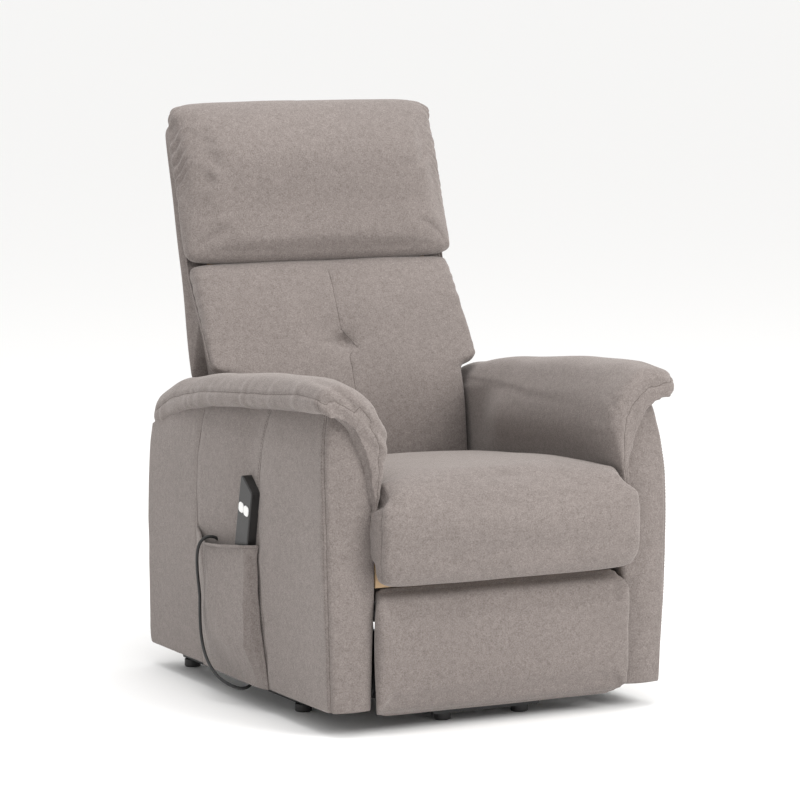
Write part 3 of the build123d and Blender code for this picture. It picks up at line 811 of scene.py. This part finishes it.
def head_shape(position, normal):
    """Short gathers slant in from the end seams, strongest near the top roll."""
    up, out = back_coords(position)
    edge = back_half(max(up, 0.5)) + 0.005 - abs(position.x)
    strong = 0.25 + 0.75 * smoothstep(0.58, 0.70, up)
    along = up - 0.8 * out - 0.5 * max(edge, 0)
    gather = 0.0030 * strong * exp(-max(edge - 0.002, 0) / 0.020)
    wave = 0.0020 * noise.noise(position * 7 + Vector((0, 3, 5)))
    return normal * (gather * ripples(11 + (position.x > 0), along, 0.022) + wave)


displace(headrest, head_shape)

for side in (-1, 1):
    edge_points = []
    for up in (0.10, 0.18, 0.24, 0.250, 0.262, 0.280, 0.33, 0.38, 0.43, 0.48, 0.52, 0.60,
               0.68, 0.74, 0.772):
        y, z = on_back(up, curve_value(SEAM_OUT, up) - 0.001)
        edge_points.append(Vector((side * (back_half(up) - 0.0003), y, z)))
    path = curve_points(edge_points, 170)
    join_into(shell, tube(f"back_piping_{side + 1}", path, 0.0017, FABRIC, 8))
REAR_SEAMS = [[(side * 0.150, 0.77), (side * 0.150, 0.40), (side * 0.150, 0.045)]
              for side in (-1, 1)]
for index, line in enumerate(REAR_SEAMS):
    points = [Vector((x, *on_back(up, REAR_OUT - 0.02))) for x, up in line]
    seam(f"back_rear_seam_{index}", shell, "backrest", points, width=0.003, depth=0.0016)
declare(shell, "backrest", "back_cover", fill=0.4)
declare(lumbar, "backrest", "lumbar_cushion", fill=0.7)
declare(headrest, "backrest", "headrest_cushion", fill=0.8)

# ---- arms ---------------------------------------------------------------------------------
PAD_EDGE = [(-0.407, 0.592), (-0.298, 0.5885), (-0.191, 0.579), (-0.147, 0.5755),
            (-0.036, 0.566), (0.079, 0.555), (0.197, 0.537), (0.282, 0.515),
            (0.325, 0.495), (0.394, 0.470)]
FRONT_LEAN = [(0.042, -0.4045), (0.20, -0.4055), (0.328, -0.403), (0.42, -0.400),
              (0.489, -0.394), (0.55, -0.385), (0.588, -0.378), (0.63, -0.370)]
REAR_LEAN = [(0.03, 0.409), (0.06, 0.416), (0.165, 0.409), (0.2845, 0.399),
             (0.398, 0.386), (0.485, 0.380)]
SIDE_BULGE = [(0.030, 0.343), (0.047, 0.347), (0.086, 0.349), (0.159, 0.3525),
              (0.231, 0.356), (0.304, 0.3595), (0.376, 0.361), (0.449, 0.360),
              (0.507, 0.355), (0.546, 0.347), (0.582, 0.337)]
INNER_FRONT = [(0.035, 0.2654), (0.16, 0.2627), (0.28, 0.2574), (0.38, 0.2563)]


def arm_front_y(z):
    """Front of the arm at a height: it leans back towards the top."""
    return curve_value(FRONT_LEAN, z)


def arm_side_x(y, z):
    """Outer face of the arm: swollen at mid height, tucked in under the pad.

    A shallow hollow above the pocket keeps clear of the handset as it slides out."""
    hollow = 0.006 * exp(-((y + 0.083) / 0.06) ** 2) * smoothstep(0.290, 0.315, z)
    return curve_value(SIDE_BULGE, z) - hollow - 0.004 * smoothstep(0.15, 0.40, y)


SEAM_REAR_Y, SEAM_MIDDLE_Y = 0.1455, -0.1235
CORNER = 0.016
INNER_CORNER = 0.010
REAR_CORNER = 0.007


def arm_ring(side, share):
    """Closed loop round one arm at a share of its height."""
    ring = []

    def level(y):
        top = curve_value(PAD_EDGE, y) + 0.012
        return ARM_BOTTOM + (top - ARM_BOTTOM) * share

    def add(x, y):
        ring.append((side * x, y, level(y)))

    rear = curve_value(REAR_LEAN, level(ARM_REAR))
    front = arm_front_y(level(-0.37))
    inner = curve_value(INNER_FRONT, level(-0.39))
    for k in range(47):
        y = rear - REAR_CORNER + (front + CORNER - rear + REAR_CORNER) * k / 46
        add(arm_side_x(y, level(y)), y)
    outer = abs(ring[-1][0])
    for k in range(1, 6):
        a = k / 6 * pi / 2
        add(outer - CORNER + CORNER * cos(a), front + CORNER - CORNER * sin(a))
    for k in range(13):
        x = outer - CORNER + (inner + INNER_CORNER - outer + CORNER) * k / 12
        add(x, front - 0.004 * sin(pi * k / 12))
    for k in range(1, 6):
        a = k / 6 * pi / 2
        add(inner + INNER_CORNER - INNER_CORNER * sin(a),
            front + INNER_CORNER - INNER_CORNER * cos(a))
    for k in range(25):
        y = front + INNER_CORNER + (rear - 0.004 - front - INNER_CORNER) * k / 24
        add(inner + (ARM_IN + 0.001 - inner) * smoothstep(0, 3, k), y)
    outer = abs(ring[0][0])
    for k in range(1, 10):
        add(ARM_IN + (outer - ARM_IN - REAR_CORNER) * k / 10, rear)
    for k in range(1, 4):
        a = k / 4 * pi / 2
        add(outer - REAR_CORNER + REAR_CORNER * sin(a), rear - REAR_CORNER + REAR_CORNER * cos(a))
    return ring


def arm_body(side, name):
    """Upholstered arm: side, front, inner and rear cloth in one skin with its seams."""
    rows = 44
    rings = [arm_ring(side, k / rows) for k in range(rows + 1)]
    lower = [[(side * (0.308 + (abs(x) - 0.308) * 0.93), y * 0.99, z + 0.014)
              for x, y, z in rings[0]]]
    body = loft(f"arm_body_{name}", lower + rings, caps=False)
    subdivide(body)
    displace(body, lambda p, n: n * 0.0014 * noise.noise(p * 6 + Vector((side * 3, 0, 2))))
    outer = side * 0.36
    tops = {y: curve_value(PAD_EDGE, y) for y in (SEAM_REAR_Y, SEAM_MIDDLE_Y)}
    rear_line = [Vector((outer, SEAM_REAR_Y - 0.008, tops[SEAM_REAR_Y])),
                 Vector((outer, SEAM_REAR_Y + 0.001, 0.42)),
                 Vector((outer, SEAM_REAR_Y + 0.003, 0.25)),
                 Vector((outer, SEAM_REAR_Y + 0.003, ARM_BOTTOM + 0.006))]
    middle_line = [Vector((outer, SEAM_MIDDLE_Y - 0.012, tops[SEAM_MIDDLE_Y])),
                   Vector((outer, SEAM_MIDDLE_Y + 0.002, 0.456)),
                   Vector((outer, SEAM_MIDDLE_Y + 0.003, 0.287)),
                   Vector((outer, SEAM_MIDDLE_Y - 0.020, ARM_BOTTOM + 0.006))]
    front_line = [Vector((side * 0.352, arm_front_y(z) + shift, z)) for z, shift in
                  ((0.586, 0.012), (0.54, 0.009), (0.489, 0.008), (0.40, 0.007), (0.328, 0.006),
                   (0.20, 0.006), (ARM_BOTTOM + 0.006, 0.006))]
    seam(f"arm_{name}_rear_seam", body, "chassis", rear_line, depth=0.003)
    seam(f"arm_{name}_middle_seam", body, "chassis", middle_line, depth=0.0022, stitch=side)
    seam(f"arm_{name}_front_seam", body, "chassis", front_line, depth=0.0022, stitch=side)
    return body


for name, side in (("left", -1), ("right", 1)):
    body = arm_body(side, name)
    declare(body, "chassis", f"arm_cover_{name}", fill=0.3)

# Arm pad: a J-shaped (x, z) slice over the arm at its front, outer path over the top and
# inner path beneath.  Further back its lip drops with PAD_EDGE and its top with PAD_CROWN.
PAD_CROWN = [(-0.41, 0.636), (-0.32, 0.643), (-0.17, 0.636), (0.071, 0.6145),
             (0.259, 0.587), (0.394, 0.543)]
PAD_OVER = [(0.352, 0.592), (0.366, 0.593), (0.3735, 0.601), (0.3765, 0.613), (0.3730, 0.625),
            (0.360, 0.637), (0.340, 0.642), (0.318, 0.6435), (0.296, 0.638), (0.2725, 0.620),
            (0.2500, 0.594), (0.2350, 0.566), (0.2300, 0.535), (0.2340, 0.505),
            (0.2420, 0.475), (0.2490, 0.445), (0.2545, 0.415), (0.2575, 0.381)]
PAD_UNDER = [(0.350, 0.595), (0.342, 0.5925), (0.336, 0.590), (0.330, 0.586), (0.324, 0.581),
             (0.318, 0.576), (0.310, 0.567), (0.303, 0.557), (0.298, 0.546), (0.294, 0.534),
             (0.290, 0.521), (0.2855, 0.506), (0.281, 0.488), (0.2765, 0.468),
             (0.2715, 0.446), (0.267, 0.424), (0.2625, 0.402), (0.2590, 0.381)]
PAD_TIP = 0.416
PAD_FRONT = 0.386


def pad_slice(side, y, thin, lift):
    """Closed J outline at y; thin from 0 to 1 draws both paths to the middle."""
    edge = curve_value(PAD_EDGE, y) - 0.592
    crown = curve_value(PAD_CROWN, y) - 0.643
    straight = smoothstep(0.02, 0.15, y)
    taper = 0.020 * smoothstep(-0.05, 0.38, y)
    over = curve_points([(x, z, 0) for x, z in PAD_OVER], 50)
    under = curve_points([(x, z, 0) for x, z in PAD_UNDER], 50)
    pairs = list(zip(over, under)) + list(zip(under, over))[::-1]
    ring = []
    for point, other in pairs:
        x, z = point.lerp(other, thin / 2).xy
        inner = max(x, 0.2570)
        x += (inner - x) * straight - taper * smoothstep(0.31, 0.37, x)
        drop = edge + (crown - edge) * smoothstep(0.598, 0.640, z)
        ring.append((side * x, y, z + drop * smoothstep(0.39, 0.58, z)
                     + lift * smoothstep(0.50, 0.64, z)))
    return ring


def arm_pad(side, name):
    """Thick pad over the arm that rolls down its inner front edge to a point."""
    rear = PAD_HIGH[1] - 0.012
    rings = []
    for k in range(6):
        a = k / 6 * pi / 2
        rings.append(pad_slice(side, rear - 0.016 + 0.016 * cos(a), 1 - sin(a), 0))
    length = rear - 0.016 + PAD_FRONT
    for k in range(1, 46):
        rings.append(pad_slice(side, rear - 0.016 - length * k / 45, 0, 0))
    for k in range(1, 9):
        a = k / 8 * pi / 2
        y = -PAD_FRONT - (PAD_TIP - PAD_FRONT) * sin(a)
        rings.append(pad_slice(side, y, 1 - cos(a), -0.020 * (1 - cos(a))))
    pad = loft(f"arm_pad_{name}_soft", rings)
    puff(pad, 0.005, 2.5, 0.004, fixed=lambda p: 1.0 if abs(p.x) < 0.262 and p.z < 0.56 else 0.0)
    relax(pad, 3)
    subdivide(pad)

    def folds(position, normal):
        """Slow waves, puckers on the lip and creases round the front."""
        wave = 0.0016 * noise.noise(position * 8 + Vector((side * 5, 2, 0)))
        near_front = smoothstep(0.30, 0.38, -position.y)
        lip = smoothstep(0.340, 0.372, abs(position.x))
        pucker = 0.0014 * lip * ripples(21 + side, position.y, 0.05)
        crease = 0.0016 * near_front * ripples(31 + side, position.z - abs(position.x), 0.045)
        return normal * (wave + pucker + crease)

    displace(pad, folds)
    border = [Vector((side * x, y, z)) for x, y, z in
              ((0.360, 0.360, 0.516), (0.372, 0.270, 0.556), (0.380, 0.137, 0.582),
               (0.384, -0.047, 0.5975), (0.384, -0.18, 0.608), (0.384, -0.308, 0.621),
               (0.378, -0.385, 0.624), (0.364, -0.425, 0.6206), (0.3235, -0.43, 0.6106),
               (0.293, -0.43, 0.595), (0.272, -0.43, 0.571), (0.260, -0.43, 0.536),
               (0.2575, -0.43, 0.4986), (0.262, -0.43, 0.425), (0.2595, -0.43, 0.390))]
    seam(f"arm_pad_{name}_border", pad, "chassis", border, width=0.0042, depth=0.0024)
    joining = [Vector((side * 0.374, -0.400, 0.620)), Vector((side * 0.374, -0.399, 0.606)),
               Vector((side * 0.366, -0.402, 0.594))]
    seam(f"arm_pad_{name}_join", pad, "chassis", joining, width=0.003, depth=0.0015)
    return pad


for name, side in (("left", -1), ("right", 1)):
    pad = arm_pad(side, name)
    declare(pad, "chassis", f"arm_pad_{name}", fill=0.7)

# ---- pocket -------------------------------------------------------------------------------
POCKET_REAR, POCKET_FRONT = SEAM_REAR_Y + 0.002, SEAM_MIDDLE_Y
POCKET_HEM = [(0.0, 0.316), (0.10, 0.306), (0.20, 0.2965), (0.27, 0.294), (0.38, 0.2955),
              (0.55, 0.300), (0.72, 0.3055), (0.86, 0.310), (1.0, 0.313)]
POCKET_SWELL = [(0.0, 0.001), (0.08, 0.006), (0.20, 0.016), (0.35, 0.022), (0.50, 0.0245),
                (0.62, 0.0275), (0.88, 0.0275), (0.95, 0.016), (1.0, 0.002)]


def pocket_skin(name, inward):
    """The pouch's cloth: gathered under the elastic hem and swollen by the handset."""
    rings = []
    columns, rows = 110, 60
    for row in range(rows + 1):
        v = row / rows
        ring = []
        for column in range(columns + 1):
            u = column / columns
            hem = curve_value(POCKET_HEM, u)
            z = ARM_BOTTOM + 0.003 + (hem - ARM_BOTTOM - 0.003) * v
            low_front = -0.018 * (1 - smoothstep(0.0, 0.6, v)) * u
            y = POCKET_REAR + (POCKET_FRONT - POCKET_REAR) * u + low_front
            sag = smoothstep(0.0, 0.35, v)
            swell = curve_value(POCKET_SWELL, u) * (0.25 + 0.75 * sag)
            below = 1 - v
            gather = 0.0030 * exp(-below / 0.30) * ripples(41, u * 0.27 - below * 0.01, 0.0165)
            gather *= smoothstep(0, 0.1, u) * smoothstep(1.0, 0.9, u) * smoothstep(0.0, 0.07, below)
            slack = 0.0030 * noise.noise(Vector((u * 4, v * 5, 3))) * sag
            out = swell * (1 + 0.10 * sin(pi * v)) + gather + slack * smoothstep(0.0, 0.2, below)
            x = -(arm_side_x(y, z) + 0.0012 + out - inward)
            ring.append((max(x, -0.3795 + inward), y, z))
        rings.append(ring)
    return loft(name, rings, closed=False, caps=False)


pocket = pocket_skin("pocket_pouch", 0.0)
thick = pocket.modifiers.new("thick", "SOLIDIFY")
thick.thickness = 0.0022
thick.offset = -1
apply_modifiers(pocket)
hem_path = []
for k in range(70):
    u = k / 69
    y = POCKET_REAR + (POCKET_FRONT - POCKET_REAR) * u
    z = curve_value(POCKET_HEM, u)
    outward = arm_side_x(y, z) + 0.0002 + curve_value(POCKET_SWELL, u)
    hem_path.append(Vector((-outward, y, z)))
join_into(pocket, tube("pocket_hem", hem_path, 0.0028, FABRIC, 8))
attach(pocket, "chassis")
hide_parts("side_pocket")

# ---- rear cover ---------------------------------------------------------------------------
REAR_LOW, REAR_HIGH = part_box("rear_cover")
rings = []
for row in range(25):
    t = row / 24
    z = REAR_LOW[2] + (REAR_HIGH[2] - REAR_LOW[2]) * t
    ring = []
    for k in range(51):
        x = REAR_LOW[0] + (REAR_HIGH[0] - REAR_LOW[0]) * k / 50
        wave = 0.0015 * noise.noise(Vector((x * 6, z * 6, 8)))
        ring.append((x, (REAR_LOW[1] + REAR_HIGH[1]) / 2 + 0.003 * sin(pi * t) + wave, z))
    rings.append(ring)
valance = loft("rear_valance", rings, closed=False, caps=False)
thick = valance.modifiers.new("thick", "SOLIDIFY")
thick.thickness = 0.003
thick.offset = 0
apply_modifiers(valance)
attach(valance, "chassis")
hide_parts("rear_cover")

# ---- stage --------------------------------------------------------------------------------
bpy.ops.mesh.primitive_plane_add(size=400, location=(0, 0, 0))
floor = bpy.context.object
floor.name = "floor"
floor_material = Nodes("pale_floor")
floor_material.shader.inputs["Base Color"].default_value = (0.92, 0.92, 0.92, 1)
floor_material.shader.inputs["Roughness"].default_value = 0.9
floor.data.materials.append(floor_material.material)

world = bpy.data.worlds.new("studio")
world.use_nodes = True
world.node_tree.nodes["Background"].inputs["Color"].default_value = (1.0, 0.995, 0.985, 1)
world.node_tree.nodes["Background"].inputs["Strength"].default_value = 1.0
bpy.context.scene.world = world


def area_light(name, place, aim, size, power, color=(1, 1, 1)):
    """Soft rectangular studio light."""
    data = bpy.data.lights.new(name, "AREA")
    data.shape = "SQUARE"
    data.size = size
    data.energy = power
    data.color = color
    light = bpy.data.objects.new(name, data)
    light.location = place
    light.rotation_euler = (Vector(aim) - Vector(place)).to_track_quat("-Z", "Y").to_euler()
    bpy.context.scene.collection.objects.link(light)


area_light("key", (2.2, -4.2, 3.4), (0, 0, 0.5), 2.6, 190, (1.0, 0.99, 0.97))
area_light("top", (-0.4, -0.6, 4.2), (0, 0, 0.4), 3.0, 90)
bpy.context.scene.view_settings.view_transform = "Standard"
